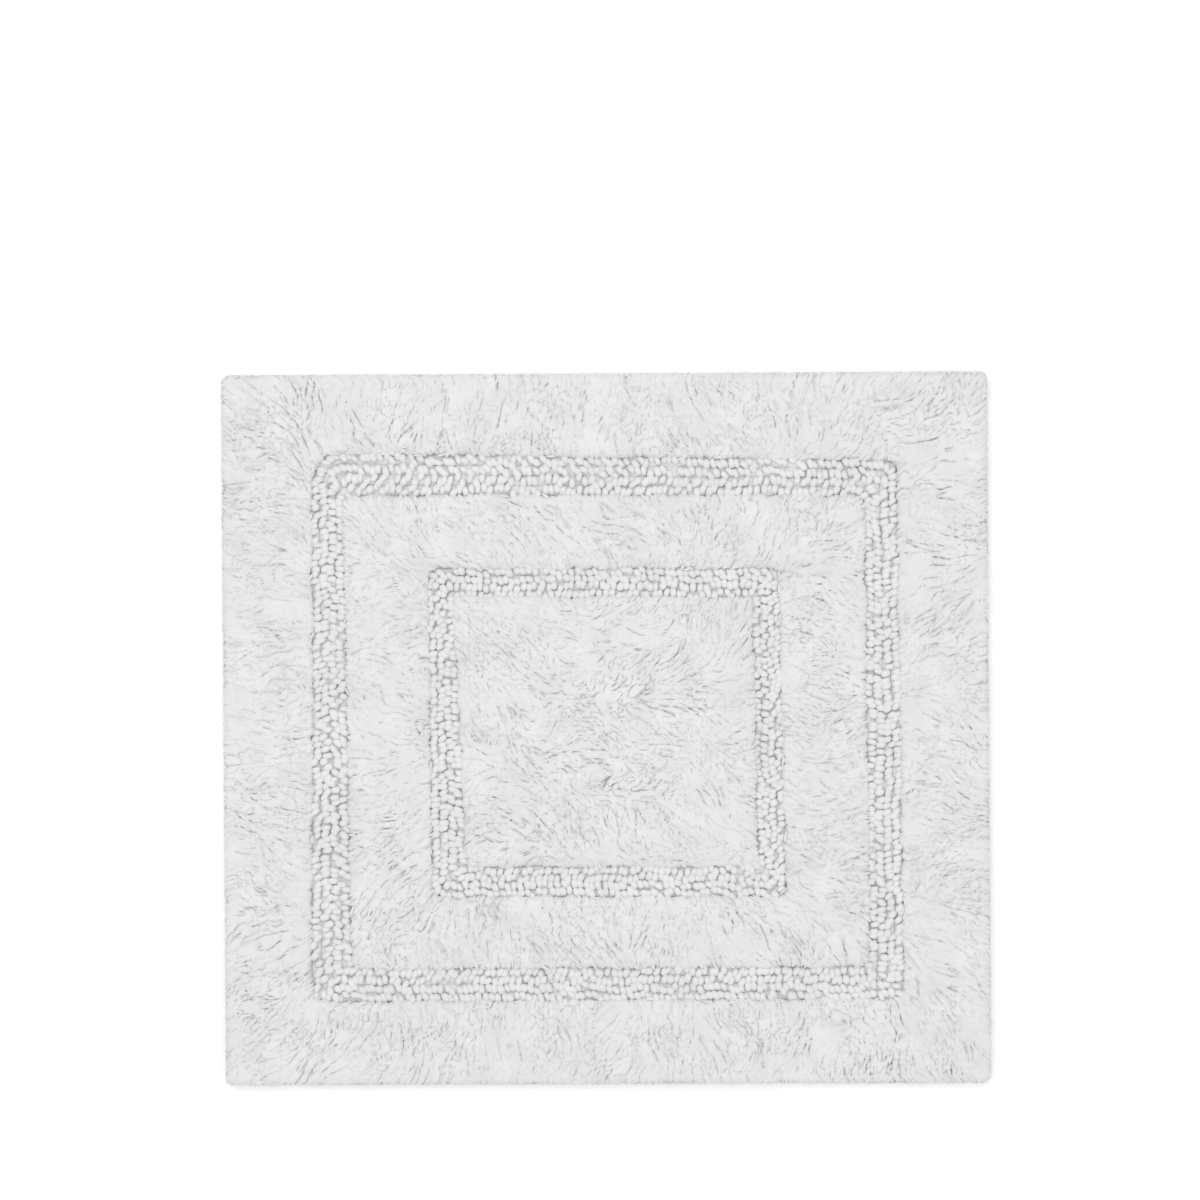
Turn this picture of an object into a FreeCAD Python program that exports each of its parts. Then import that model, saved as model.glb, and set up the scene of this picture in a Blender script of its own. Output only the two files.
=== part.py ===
import FreeCAD, Part
import math
import os

import Sketcher
from FreeCAD import Vector

# A tufted cotton bath mat: a canvas with a turned-under hem, the latex coat on its back, the two
# threads of the hem's seam, a care label caught in the hem, and the yarns tufted through the canvas.
#
# Millimetres, +Z up. The origin is on the floor under the middle of the mat, with its right side
# at +X and its back at +Y. The mat is hand made, so its outlines are four-sided, but no two corners
# are alike. Each corner is given by its distances from the two centre lines and by its radius.

# Anticlockwise from above, with the sides of the centre lines that each corner lies on.
CORNERS = {
    "front_left": (-1, -1),
    "front_right": (1, -1),
    "back_right": (1, 1),
    "back_left": (-1, 1),
}
CORNER_SIZES = ("x", "y", "radius")

OUTLINES = {
    # the pile's outer edge, which is the mat's own
    "mat": {
        "front_left": (296.0, 278.0, 5.0),
        "front_right": (300.0, 276.0, 9.0),
        "back_right": (296.5, 278.0, 6.0),
        "back_left": (300.0, 275.0, 8.0),
    },
    # the outer band of loops, outside and inside
    "outer_band": {
        "front_left": (229.0, 212.5, 8.0),
        "front_right": (232.0, 210.0, 10.0),
        "back_right": (225.5, 209.0, 10.0),
        "back_left": (229.0, 214.0, 22.0),
    },
    "middle_field": {
        "front_left": (197.0, 187.0, 6.0),
        "front_right": (205.0, 185.0, 6.0),
        "back_right": (200.0, 181.0, 6.0),
        "back_left": (205.0, 181.0, 9.0),
    },
    # the inner band of loops, outside and inside
    "inner_band": {
        "front_left": (135.5, 131.0, 7.0),
        "front_right": (140.0, 131.0, 7.0),
        "back_right": (134.5, 125.0, 7.0),
        "back_left": (139.0, 124.5, 7.0),
    },
    "centre_field": {
        "front_left": (108.0, 107.5, 5.0),
        "front_right": (118.0, 107.0, 5.0),
        "back_right": (113.5, 102.0, 5.0),
        "back_left": (119.0, 102.0, 5.0),
    },
}

SIZES = {
    "cloth_thickness": 0.9,
    "fold_gap": 0.3,  # between the hem and the cloth above it
    "fold_radius": 0.9,
    "fold_width": 3.0,  # from the cloth's edge to where its two layers part
    "cloth_inset": 5.0,  # from the pile's outer edge to the cloth's, which the pile hides
    "cloth_corner": 6.0,
    "hem_width": 22.0,
    "hem_corner": 3.0,
    "seam_inset": 17.0,  # from the cloth's edge to the hem's seam
    "seam_corner": 4.0,
    "thread_width": 0.8,
    "thread_height": 0.35,
    "thread_clearance": 0.1,
    "latex_gap": 1.0,  # between the hem's raw edge and the coat
    "latex_corner": 2.0,
    "cut_pile_height": 15.9,  # above the cloth
    "cut_pile_shoulder": 4.0,
    "loop_pile_height": 10.5,
    "loop_row_shoulder": 2.0,
    "loop_rows": 4.0,  # in each band
    "row_gap": 0.3,  # between a row and its neighbour
    "label_x": 200.0,
    "label_width": 32.0,
    "label_tail": 12.0,  # from the hem's raw edge into the fold
    "label_reach": 24.0,  # from the hem's raw edge to the label's free end
    "label_thickness": 0.4,
    "label_tail_thickness": 0.2,
    "label_bed_margin": 1.0,
}

doc = FreeCAD.newDocument("BathMat")
sheet = doc.addObject("Spreadsheet::Sheet", "Sheet")
parts = []


def fill_sheet():
    """Writes every driving dimension to a cell of its own, with its name beside it and as its alias."""
    sizes = dict(SIZES)
    for outline, corners in OUTLINES.items():
        for corner, values in corners.items():
            for size, value in zip(CORNER_SIZES, values):
                sizes[f"{outline}_{corner}_{size}"] = value
    for row, (alias, value) in enumerate(sizes.items(), start=1):
        sheet.set(f"A{row}", alias)
        sheet.set(f"B{row}", str(value))
        sheet.setAlias(f"B{row}", alias)
    doc.recompute()


def cell(alias):
    return f"Sheet.{alias}"


def number(expression):
    """The value of an expression, in millimetres."""
    value = sheet.evalExpression(expression)
    return float(getattr(value, "Value", value))


# Heights above the floor.
FLOOR = "0"
HEM_TOP = cell("cloth_thickness")
CLOTH_UNDERSIDE = f"({cell('cloth_thickness')} + {cell('fold_gap')})"
CLOTH_TOP = f"({cell('cloth_thickness')} * 2 + {cell('fold_gap')})"


# Outlines: each is a corner's name and the expressions of its x, y and radius.


def drawn(name):
    return {
        corner: tuple(cell(f"{name}_{corner}_{size}") for size in CORNER_SIZES)
        for corner in CORNERS
    }


def inset(outline, distance, radius=None):
    """The outline moved inwards by a distance, with its own corner radius or the same one all round."""
    return {
        corner: (f"({x} - {distance})", f"({y} - {distance})", radius or own)
        for corner, (x, y, own) in outline.items()
    }


def between(outer, inner, share):
    """The outline that lies a share of the way from the outer one to the inner one."""
    return {
        corner: tuple(
            f"({start} + ({end} - {start}) * {share})"
            for start, end in zip(outer[corner], inner[corner])
        )
        for corner in CORNERS
    }


# Sketches and features.


def new_body(label):
    body = doc.addObject("PartDesign::Body", label)
    body.Label = label
    parts.append(body)
    return body


def sketch_on(body, plane, name):
    """An empty sketch on one of the body's own origin planes."""
    sketch = body.newObject("Sketcher::SketchObject", name)
    face = next(f for f in body.Origin.OriginFeatures if f.Role == plane)
    sketch.AttachmentSupport = [(face, "")]
    sketch.MapMode = "FlatFace"
    return sketch


def constrain(sketch, kind, *arguments, name=None, expression=None):
    """Adds one constraint, and binds it to the sheet where it has an expression."""
    index = sketch.addConstraint(Sketcher.Constraint(kind, *arguments))
    if expression is not None:
        sketch.renameConstraint(index, name)
        sketch.setExpression(f"Constraints.{name}", expression)


def draw_rounded(sketch, outline, prefix):
    """Draws a four-sided outline with an arc at each corner, tangent to the sides beside it."""
    points, radii = [], []
    for corner, (side_x, side_y) in CORNERS.items():
        x, y, radius = outline[corner]
        points.append(Vector(side_x * number(x), side_y * number(y), 0))
        radii.append(number(radius))
    starts, ends, centres = [], [], []
    count = len(points)
    for i, point in enumerate(points):
        back = (points[i - 1] - point).normalize()
        onward = (points[(i + 1) % count] - point).normalize()
        half_angle = back.getAngle(onward) / 2
        reach = radii[i] / math.tan(half_angle)
        starts.append(point + back * reach)
        ends.append(point + onward * reach)
        bisector = (back + onward).normalize()
        centres.append(point + bisector * math.hypot(reach, radii[i]))

    arcs, sides, tips = [], [], []
    for i, centre in enumerate(centres):
        circle = Part.Circle(centre, Vector(0, 0, 1), radii[i])
        arc = Part.ArcOfCircle(circle, circle.parameter(starts[i]), circle.parameter(ends[i]))
        arcs.append(sketch.addGeometry(arc, False))
    for i in range(count):
        line = Part.LineSegment(ends[i], starts[(i + 1) % count])
        sides.append(sketch.addGeometry(line, False))
        tips.append(sketch.addGeometry(Part.Point(points[i]), True))

    start, end, origin = 1, 2, (-1, 1)
    for i, (corner, (side_x, side_y)) in enumerate(CORNERS.items()):
        x, y, radius = outline[corner]
        constrain(sketch, "Tangent", sides[i - 1], end, arcs[i], start)
        constrain(sketch, "Tangent", arcs[i], end, sides[i], start)
        constrain(sketch, "PointOnObject", tips[i], start, sides[i - 1])
        constrain(sketch, "PointOnObject", tips[i], start, sides[i])
        for kind, side, value in (("DistanceX", side_x, x), ("DistanceY", side_y, y)):
            tip = (tips[i], start)
            pair = (*origin, *tip) if side > 0 else (*tip, *origin)
            name = f"{prefix}_{corner}_{kind}"
            constrain(sketch, kind, *pair, number(value), name=name, expression=value)
        name = f"{prefix}_{corner}_radius"
        constrain(sketch, "Radius", arcs[i], radii[i], name=name, expression=radius)


def outline_sketch(body, name, height, *outlines):
    """A level sketch at a height above the floor, with one outline, or two for a ring."""
    sketch = sketch_on(body, "XY_Plane", name)
    sketch.setExpression("AttachmentOffset.Base.z", height)
    for i, outline in enumerate(outlines):
        draw_rounded(sketch, outline, f"edge{i}")
    return sketch


def pad(body, name, sketch, length):
    feature = body.newObject("PartDesign::Pad", name)
    feature.Profile = sketch
    feature.setExpression("Length", length)
    doc.recompute()
    return feature


def pocket_upwards(body, name, sketch, depth):
    """Cuts from the sketch upwards, and makes sure that the cut takes something away."""
    before = body.Shape.Volume
    feature = body.newObject("PartDesign::Pocket", name)
    feature.Profile = sketch
    feature.Reversed = True
    feature.setExpression("Length", depth)
    doc.recompute()
    if not body.Shape.Volume < before:
        raise RuntimeError(f"{name} cuts nothing")
    return feature


def level_edges(shape, height):
    """The names of the edges that lie level at this height."""
    names = []
    for i, edge in enumerate(shape.Edges, start=1):
        box = edge.BoundBox
        if abs(box.ZMin - height) < 1e-6 and abs(box.ZMax - height) < 1e-6:
            names.append(f"Edge{i}")
    return names


def round_edges(body, name, feature, edges, radius):
    fillet = body.newObject("PartDesign::Fillet", name)
    fillet.Base = (feature, edges)
    fillet.setExpression("Radius", radius)
    doc.recompute()
    return fillet


def ring(centre_line, width):
    """The outer and inner outlines of a strip that follows a centre line."""
    half = f"{width} / 2"
    return inset(centre_line, f"(-{half})"), inset(centre_line, f"({half})")


# Sub-parts.


def make_base_cloth():
    """The canvas. Its border is turned under, so the hem is a second layer with a fold at its edge."""
    body = new_body("base_cloth")
    sketch = outline_sketch(body, "cloth_outline", FLOOR, cloth_edge)
    block = pad(body, "cloth", sketch, CLOTH_TOP)
    folds = level_edges(block.Shape, 0) + level_edges(block.Shape, number(CLOTH_TOP))
    round_edges(body, "fold", block, folds, cell("fold_radius"))

    sketch = outline_sketch(body, "hem_edge", FLOOR, hem_edge)
    pocket_upwards(body, "inside_hem", sketch, CLOTH_UNDERSIDE)
    parting = inset(cloth_edge, cell("fold_width"))
    sketch = outline_sketch(body, "hem_layers", HEM_TOP, parting, hem_edge)
    pocket_upwards(body, "hem_gap", sketch, cell("fold_gap"))
    sketch = outline_sketch(body, "seam_line", FLOOR, *ring(seam, furrow_width))
    pocket_upwards(body, "seam_furrow", sketch, furrow_depth)


def make_latex_coat():
    """The coat fills the back inside the hem, level with it, and the label has pressed a bed in it."""
    body = new_body("latex_coat")
    edge = inset(hem_edge, cell("latex_gap"), cell("latex_corner"))
    sketch = outline_sketch(body, "latex_outline", FLOOR, edge)
    pad(body, "latex", sketch, CLOTH_UNDERSIDE)

    margin = cell("label_bed_margin")
    sketch = sketch_on(body, "XY_Plane", "label_bed_outline")
    left = f"{cell('label_x')} - {cell('label_width')} / 2 - {margin}"
    right = f"{cell('label_x')} + {cell('label_width')} / 2 + {margin}"
    front = f"-({hem_front} + {margin})"
    back = f"-({hem_front} - {cell('label_reach')} - {margin})"
    draw_box(sketch, left, right, front, back)
    bed_depth = f"({cell('label_thickness')} + {cell('thread_clearance')} * 2)"
    pocket_upwards(body, "label_bed", sketch, bed_depth)


def draw_box(sketch, left, right, low, high):
    """A rectangle whose four sides are bound to expressions of their distances from the origin."""
    x0, x1, y0, y1 = number(left), number(right), number(low), number(high)
    corners = [Vector(x0, y0, 0), Vector(x1, y0, 0), Vector(x1, y1, 0), Vector(x0, y1, 0)]
    draw_polygon(sketch, corners)
    bind_point(sketch, 0, left, low)
    bind_point(sketch, 2, right, high)
    for side in (0, 2):
        constrain(sketch, "Horizontal", side)
    for side in (1, 3):
        constrain(sketch, "Vertical", side)


def draw_polygon(sketch, points):
    """A closed line through the points, side i starting at point i."""
    count = len(points)
    for i, point in enumerate(points):
        sketch.addGeometry(Part.LineSegment(point, points[(i + 1) % count]), False)
    for i in range(count):
        constrain(sketch, "Coincident", i, 2, (i + 1) % count, 1)


def bind_point(sketch, side, across, up):
    """Binds the start of a side to the expressions of its two coordinates."""
    for kind, value in (("DistanceX", across), ("DistanceY", up)):
        size = number(value)
        pair = (-1, 1, side, 1) if size >= 0 else (side, 1, -1, 1)
        expression = value if size >= 0 else f"-({value})"
        name = f"point{side}_{kind}"
        constrain(sketch, kind, *pair, abs(size), name=name, expression=expression)


def make_threads():
    """The seam's two threads: one in the hem's furrow, one on the cloth among the pile's roots."""
    width = cell("thread_width")
    height = cell("thread_height")
    body = new_body("hem_needle_thread")
    sketch = outline_sketch(body, "needle_line", cell("thread_clearance"), *ring(seam, width))
    pad(body, "needle_thread", sketch, height)
    body = new_body("hem_bobbin_thread")
    sketch = outline_sketch(body, "bobbin_line", CLOTH_TOP, *ring(seam, width))
    pad(body, "bobbin_thread", sketch, height)


def make_care_label():
    """A folded ribbon. Its tail is in the hem's gap, and it steps down past the hem's raw edge."""
    body = new_body("care_label")
    sketch = sketch_on(body, "YZ_Plane", "label_section")
    clearance = cell("thread_clearance")
    raw_edge = f"(-{hem_front})"
    low = clearance
    flap_top = f"({clearance} + {cell('label_thickness')})"
    tail_top = f"({CLOTH_UNDERSIDE} - {clearance} / 2)"
    tail_low = f"({tail_top} - {cell('label_tail_thickness')})"
    step_start = f"({raw_edge} + {clearance} * 2)"
    step_end = f"({step_start} + {cell('label_thickness')})"
    tail_end = f"({raw_edge} - {cell('label_tail')})"
    free_end = f"({raw_edge} + {cell('label_reach')})"
    section = [
        (tail_end, tail_low),
        (step_start, tail_low),
        (step_start, low),
        (free_end, low),
        (free_end, flap_top),
        (step_end, flap_top),
        (step_end, tail_top),
        (tail_end, tail_top),
    ]
    draw_polygon(sketch, [Vector(number(y), number(z), 0) for y, z in section])
    for side, (y, z) in enumerate(section):
        bind_point(sketch, side, y, z)
    sketch.setExpression("AttachmentOffset.Base.z", cell("label_x"))
    feature = pad(body, "label", sketch, cell("label_width"))
    feature.Midplane = True


def make_cut_pile(label, outer, inner=None, seam_below=None):
    """A field of cut tufts: a slab, or a ring, with rounded shoulders."""
    body = new_body(label)
    outlines = (outer, inner) if inner else (outer,)
    sketch = outline_sketch(body, f"{label}_outline", CLOTH_TOP, *outlines)
    slab = pad(body, f"{label}_slab", sketch, cell("cut_pile_height"))
    top = number(f"{CLOTH_TOP} + {cell('cut_pile_height')}")
    shoulders = level_edges(slab.Shape, top)
    round_edges(body, f"{label}_shoulder", slab, shoulders, cell("cut_pile_shoulder"))
    if seam_below:
        sketch = outline_sketch(body, f"{label}_seam", CLOTH_TOP, *ring(seam_below, furrow_width))
        pocket_upwards(body, f"{label}_furrow", sketch, furrow_depth)


def make_loop_rows(label, outer, inner):
    """A band's rows of loops, each one yarn all the way round, numbered from the outside in."""
    rows = int(number(cell("loop_rows")))
    top = number(f"{CLOTH_TOP} + {cell('loop_pile_height')}")
    for row in range(rows):
        name = f"{label}_{row + 1}"
        body = new_body(name)
        outside = inset(between(outer, inner, f"{row} / {cell('loop_rows')}"), half_gap)
        inside = inset(between(outer, inner, f"{row + 1} / {cell('loop_rows')}"), f"(-{half_gap})")
        sketch = outline_sketch(body, f"{name}_outline", CLOTH_TOP, outside, inside)
        ridge = pad(body, f"{name}_ridge", sketch, cell("loop_pile_height"))
        shoulders = level_edges(ridge.Shape, top)
        round_edges(body, f"{name}_shoulder", ridge, shoulders, cell("loop_row_shoulder"))


def check_model():
    """Stops with a message if any object failed or any sub-part isn't one valid solid."""
    doc.recompute()
    for thing in doc.Objects:
        if "Invalid" in thing.State or "Error" in thing.State:
            raise RuntimeError(f"{thing.Label} failed")
    for body in parts:
        shape = body.Shape
        if shape.isNull() or not shape.isValid() or len(shape.Solids) != 1:
            raise RuntimeError(f"{body.Label} isn't one valid solid")


def write_parts():
    os.makedirs("parts", exist_ok=True)
    for body in parts:
        body.Shape.exportStep(f"parts/{body.Label}.step")
        box = body.Shape.optimalBoundingBox(False)
        size = " x ".join(f"{length:.2f}" for length in (box.XLength, box.YLength, box.ZLength))
        print(f"{body.Label}: {size} mm, from z {box.ZMin:.2f} to {box.ZMax:.2f}")


fill_sheet()

# Outlines and sizes that several sub-parts share.
mat_edge = drawn("mat")
outer_band = drawn("outer_band")
middle_field = drawn("middle_field")
inner_band = drawn("inner_band")
centre_field = drawn("centre_field")
half_gap = f"{cell('row_gap')} / 2"
cloth_edge = inset(mat_edge, cell("cloth_inset"), cell("cloth_corner"))
hem_edge = inset(cloth_edge, cell("hem_width"), cell("hem_corner"))
seam = inset(cloth_edge, cell("seam_inset"), cell("seam_corner"))
furrow_width = f"({cell('thread_width')} + {cell('thread_clearance')} * 4)"
furrow_depth = f"({cell('thread_height')} + {cell('thread_clearance')})"
# The hem's raw edge at the label, which lies near the mat's front right corner.
hem_front = hem_edge["front_right"][1]

make_base_cloth()
make_latex_coat()
make_threads()
make_care_label()
make_cut_pile("outer_cut_pile", mat_edge, inset(outer_band, f"(-{half_gap})"), seam)
make_loop_rows("outer_loop_row", outer_band, middle_field)
make_cut_pile("middle_cut_pile", inset(middle_field, half_gap), inset(inner_band, f"(-{half_gap})"))
make_loop_rows("inner_loop_row", inner_band, centre_field)
make_cut_pile("centre_cut_pile", inset(centre_field, half_gap))

check_model()
write_parts()
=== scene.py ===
import functools
import math

import bpy
import numpy as np
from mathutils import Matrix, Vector
from mathutils.geometry import convex_hull_2d


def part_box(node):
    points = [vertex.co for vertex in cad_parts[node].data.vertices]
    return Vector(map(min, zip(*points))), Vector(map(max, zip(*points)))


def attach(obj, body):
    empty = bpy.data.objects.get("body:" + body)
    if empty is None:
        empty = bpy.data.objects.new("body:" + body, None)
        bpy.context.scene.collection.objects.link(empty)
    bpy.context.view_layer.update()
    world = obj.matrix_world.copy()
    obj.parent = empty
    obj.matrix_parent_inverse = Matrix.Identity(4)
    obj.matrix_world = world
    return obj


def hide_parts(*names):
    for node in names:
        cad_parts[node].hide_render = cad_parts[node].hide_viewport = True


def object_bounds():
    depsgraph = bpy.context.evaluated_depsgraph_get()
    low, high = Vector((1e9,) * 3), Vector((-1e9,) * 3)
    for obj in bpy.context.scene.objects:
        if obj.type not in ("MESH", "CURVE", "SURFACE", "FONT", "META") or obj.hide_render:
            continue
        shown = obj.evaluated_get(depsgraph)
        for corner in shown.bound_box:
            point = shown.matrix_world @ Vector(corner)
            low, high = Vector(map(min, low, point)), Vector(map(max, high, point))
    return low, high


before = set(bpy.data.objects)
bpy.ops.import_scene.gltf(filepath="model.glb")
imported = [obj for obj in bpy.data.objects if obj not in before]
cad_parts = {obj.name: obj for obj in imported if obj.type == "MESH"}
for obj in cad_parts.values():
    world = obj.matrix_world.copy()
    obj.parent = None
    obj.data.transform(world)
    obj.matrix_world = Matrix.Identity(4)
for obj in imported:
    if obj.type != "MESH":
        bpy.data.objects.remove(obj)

# The visual model of a tufted cotton bath mat, in metres. Its outlines are read from the packed
# model. Each row of loops is one yarn that runs between two of them. Each field of cut pile is a
# relief of packed tufts between two of them, with loose ends lying on it.

MM = 0.001
TURN = 2 * math.pi
Z = np.array([0.0, 0.0, 1.0])

cad_low, cad_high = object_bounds()


# Outlines in plan. Each is a convex polygon round the origin, anticlockwise.


def outline(node):
    """The corners of a CAD node's outer edge."""
    flat = [vertex.co.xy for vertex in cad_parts[node].data.vertices]
    corners = np.array([flat[i] for i in convex_hull_2d(flat)])
    angles = np.arctan2(corners[:, 1], corners[:, 0])
    return corners[np.argsort(angles)]


def sides(polygon):
    """Each side's outward normal, and its distance from the origin."""
    along = np.roll(polygon, -1, axis=0) - polygon
    long_enough = np.linalg.norm(along, axis=1) > 0.01 * MM
    along, start = along[long_enough], polygon[long_enough]
    normal = np.stack([along[:, 1], -along[:, 0]], axis=1)
    normal /= np.linalg.norm(normal, axis=1, keepdims=True)
    return normal, (normal * start).sum(axis=1)


def depth(polygon, points):
    """How far inside an outline each point lies, and negative outside it."""
    normal, distance = sides(polygon)
    return (distance[None] - points[:, :2] @ normal.T).min(axis=1)


def reach(polygon, directions, offset=0.0):
    """How far an outline, moved out by an offset, is from the origin in each direction."""
    normal, distance = sides(polygon)
    facing = directions @ normal.T
    moved = distance[None] + np.reshape(offset, (-1, 1))
    return np.where(facing > 1e-6, moved / np.maximum(facing, 1e-6), np.inf).min(axis=1)


def even(line, step, count=None):
    """Points spaced evenly along a closed line, with the directions along and out of it there."""
    closed = np.vstack([line, line[:1]])
    run = np.concatenate([[0], np.cumsum(np.linalg.norm(np.diff(closed, axis=0), axis=1))])
    count = count or round(run[-1] / step)
    where = np.arange(count) * run[-1] / count
    points = np.stack([np.interp(where, run, closed[:, i]) for i in range(2)], axis=1)
    along = np.roll(points, -1, axis=0) - np.roll(points, 1, axis=0)
    along /= np.linalg.norm(along, axis=1, keepdims=True)
    out = np.stack([along[:, 1], -along[:, 0]], axis=1)
    return points, along, out


def round_directions(polygon, step):
    """Unit vectors from the origin to points spaced evenly round an outline."""
    points = even(polygon, step)[0]
    return points / np.linalg.norm(points, axis=1, keepdims=True)


def line_length(line):
    """The length of a closed line."""
    return np.linalg.norm(np.roll(line, -1, axis=0) - line, axis=1).sum()


def turned(vectors, angles):
    """Plan vectors turned anticlockwise."""
    cos, sin = np.cos(angles), np.sin(angles)
    x = vectors[:, 0] * cos - vectors[:, 1] * sin
    y = vectors[:, 0] * sin + vectors[:, 1] * cos
    return np.stack([x, y], axis=1)


def flat_3d(vectors):
    """Plan vectors as level vectors in space."""
    return np.pad(vectors, ((0, 0), (0, 1)))


# Noise and mesh making.

LATTICE = 256  # cells along a side of the noise, after which it repeats


@functools.cache
def noise_lattice(seed):
    """Random values at the corners of a square grid."""
    return np.random.default_rng(seed).uniform(-1, 1, (LATTICE, LATTICE))


def noise(points, size, seed):
    """Smooth noise from -1 to 1 over a plan, with features of about this size."""
    lattice = noise_lattice(seed)
    grid = points[:, :2] / size + LATTICE / 2
    low = np.floor(grid).astype(int)
    share = grid - low
    share = share * share * (3 - 2 * share)
    x0, y0 = low[:, 0] % LATTICE, low[:, 1] % LATTICE
    x1, y1 = (x0 + 1) % LATTICE, (y0 + 1) % LATTICE
    near = lattice[x0, y0] * (1 - share[:, 0]) + lattice[x1, y0] * share[:, 0]
    far = lattice[x0, y1] * (1 - share[:, 0]) + lattice[x1, y1] * share[:, 0]
    return near * (1 - share[:, 1]) + far * share[:, 1]


def near_line(distance, width):
    """1 on a line and falling to 0 beside it."""
    return np.exp(-((distance / width) ** 2))


def make_piece(name, points, faces, material, slot, node, smooth=True):
    """A mesh piece that stands for this CAD node. Faces come in arrays by corner count."""
    mesh = bpy.data.meshes.new(name)
    mesh.vertices.add(len(points))
    mesh.vertices.foreach_set("co", np.asarray(points, np.float32).ravel())
    corners = np.concatenate([np.asarray(f, np.int32).ravel() for f in faces])
    sizes = np.concatenate([np.full(len(f), np.shape(f)[1], np.int32) for f in faces])
    starts = np.concatenate([[0], np.cumsum(sizes)[:-1]]).astype(np.int32)
    mesh.loops.add(len(corners))
    mesh.loops.foreach_set("vertex_index", corners)
    mesh.polygons.add(len(sizes))
    mesh.polygons.foreach_set("loop_start", starts)
    mesh.update(calc_edges=True)
    mesh.polygons.foreach_set("use_smooth", np.full(len(sizes), smooth))
    mesh.materials.append(material)
    piece = bpy.data.objects.new(name, mesh)
    bpy.context.scene.collection.objects.link(piece)
    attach(piece, "root")
    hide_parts(node)
    return piece


def grid_faces(rows, columns, closed_rows=False, closed_columns=False):
    """Quads over a grid of points, row by row."""
    row = np.arange(rows if closed_rows else rows - 1)[:, None]
    column = np.arange(columns if closed_columns else columns - 1)[None]
    next_row, next_column = (row + 1) % rows, (column + 1) % columns
    ring = [row * columns + column, row * columns + next_column]
    ring += [next_row * columns + next_column, next_row * columns + column]
    return np.stack(ring, axis=-1).reshape(-1, 4)


def capped_faces(rings, count):
    """Quads over a stack of rings, with a fan at each end to one of two points that follow them."""
    ring = np.arange(count)
    onward = (ring + 1) % count
    last = (rings - 1) * count
    first_fan = np.stack([np.full(count, rings * count), onward, ring], axis=1)
    last_fan = np.stack([last + ring, last + onward, np.full(count, rings * count + 1)], axis=1)
    return [grid_faces(rings, count, closed_columns=True), np.concatenate([first_fan, last_fan])]


def tube(centres, hints, half_width, half_height, corners, section):
    """A closed tube round a closed line. Hints say which way its width lies at each point."""
    along = np.roll(centres, -1, axis=0) - np.roll(centres, 1, axis=0)
    along /= np.linalg.norm(along, axis=1, keepdims=True)
    across = hints - (hints * along).sum(axis=1, keepdims=True) * along
    across /= np.linalg.norm(across, axis=1, keepdims=True)
    up = np.cross(along, across)
    angle = np.arange(corners) * TURN / corners
    swell = section(angle)
    right = np.cos(angle)[None] * half_width[:, None] * swell
    above = np.sin(angle)[None] * half_height[:, None] * swell
    points = centres[:, None] + right[..., None] * across[:, None] + above[..., None] * up[:, None]
    return points.reshape(-1, 3), [grid_faces(len(centres), corners, True, True)]


def squared(angle, power):
    """How far a rounded square reaches at each angle, beside a circle. A higher power is squarer."""
    return ((np.abs(np.cos(angle)) ** power + np.abs(np.sin(angle)) ** power) ** (-1 / power))[None]


# Materials.


def new_material(name, roughness, sheen):
    """A material with a dull surface, its node tree and its shader."""
    material = bpy.data.materials.new(name)
    material.use_nodes = True
    shader = material.node_tree.nodes["Principled BSDF"]
    shader.inputs["Roughness"].default_value = roughness
    shader.inputs["Specular IOR Level"].default_value = 0.2
    shader.inputs["Sheen Weight"].default_value = sheen
    shader.inputs["Sheen Roughness"].default_value = 0.5
    return material, material.node_tree, shader


def add_node(tree, kind, **inputs):
    """A shader node with these values set on its inputs."""
    node = tree.nodes.new(kind)
    for name, value in inputs.items():
        node.inputs[name].default_value = value
    return node


def add_texture(tree, scale, detail):
    """A noise texture over the object's coordinates, which are the same as the mat's."""
    place = tree.nodes.new("ShaderNodeTexCoord")
    texture = add_node(tree, "ShaderNodeTexNoise", Scale=scale, Detail=detail)
    tree.links.new(place.outputs["Object"], texture.inputs["Vector"])
    return texture.outputs["Fac"]


def mix_colour(tree, share, dark, light):
    """A blend from dark to light over the middle of a texture's range."""
    ramp = tree.nodes.new("ShaderNodeValToRGB")
    ramp.color_ramp.elements[0].color = (*dark, 1)
    ramp.color_ramp.elements[0].position = 0.3
    ramp.color_ramp.elements[1].color = (*light, 1)
    ramp.color_ramp.elements[1].position = 0.7
    tree.links.new(share, ramp.inputs["Fac"])
    return ramp.outputs["Color"]


def add_bump(tree, shader, height, distance):
    """A fine relief on the surface, this deep."""
    bump = add_node(tree, "ShaderNodeBump", Strength=1.0, Distance=distance)
    tree.links.new(height, bump.inputs["Height"])
    tree.links.new(bump.outputs["Normal"], shader.inputs["Normal"])


def make_material(name, dark, light, grain_size, grain_depth):
    """A dull, slightly uneven colour, with a fine grain of fibres or foam on the surface."""
    material, tree, shader = new_material(name, roughness=0.95, sheen=0.35)
    patches = add_texture(tree, scale=45.0, detail=4.0)
    tree.links.new(mix_colour(tree, patches, dark, light), shader.inputs["Base Color"])
    grain = add_texture(tree, scale=1 / grain_size, detail=3.0)
    add_bump(tree, shader, grain, grain_depth)
    return material


def grey(value):
    """An even grey of this brightness."""
    return (value, value, value)


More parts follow.
